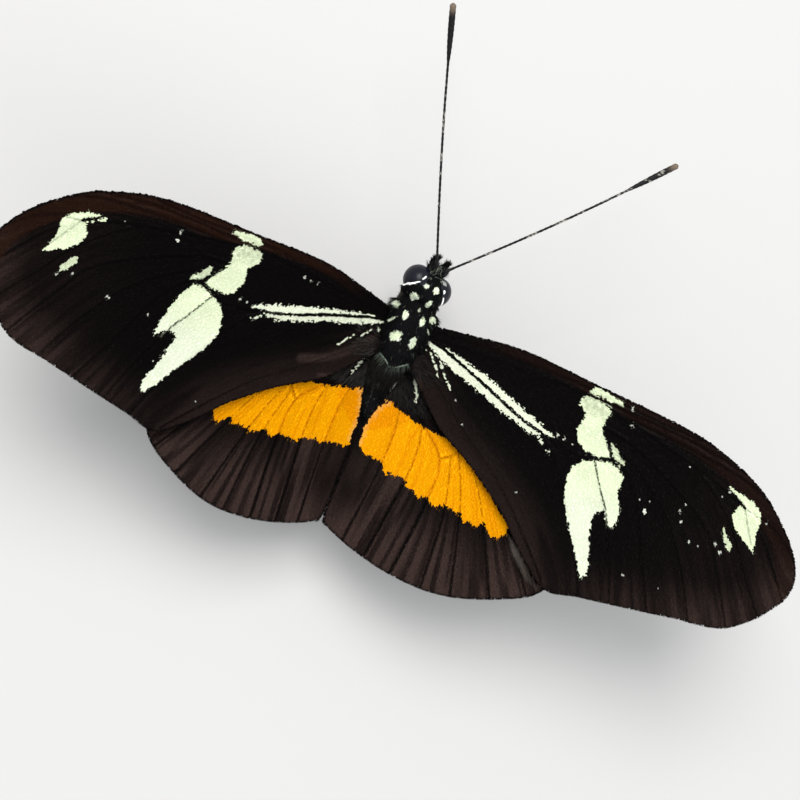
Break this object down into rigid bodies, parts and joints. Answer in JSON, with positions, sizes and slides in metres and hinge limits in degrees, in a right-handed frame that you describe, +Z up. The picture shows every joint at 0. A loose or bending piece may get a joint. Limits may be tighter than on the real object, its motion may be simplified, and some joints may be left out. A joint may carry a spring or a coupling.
{
  "type": "heliconius butterfly",
  "caption": "Life-size still model of a heliconius butterfly standing with spread wings: black with pale green forewing marks and an orange hindwing band.",
  "frame": {"origin": "on the floor, under the middle of the whole model's box", "axes": "+X to the butterfly's right along the wing span, +Y forward towards the feelers, +Z up"},
  "size_m": [0.0734, 0.0464, 0.0223],
  "materials": {
    "forewing_scales": "velvety black scales with pale green marks",
    "hindwing_scales": "velvety black scales with an orange band",
    "body_hair": "short black hair with pale yellow-green spots",
    "eye": "glossy",
    "feeler": "fine black scales, ringed",
    "leg": "satin"
  },
  "bodies": {
    "root": {"head": "body_hair", "thorax": "body_hair", "abdomen": "body_hair", "proboscis": "feeler", "eye_left": "eye", "eye_right": "eye", "antenna_left": "feeler", "antenna_right": "feeler", "palp_left": "body_hair", "palp_right": "body_hair", "forewing_left": "forewing_scales", "forewing_right": "forewing_scales", "hindwing_left": "hindwing_scales", "hindwing_right": "hindwing_scales", "foreleg_left": "leg", "foreleg_right": "leg", "midleg_left": "leg", "midleg_right": "leg", "hindleg_left": "leg", "hindleg_right": "leg"}
  },
  "joints": []
}
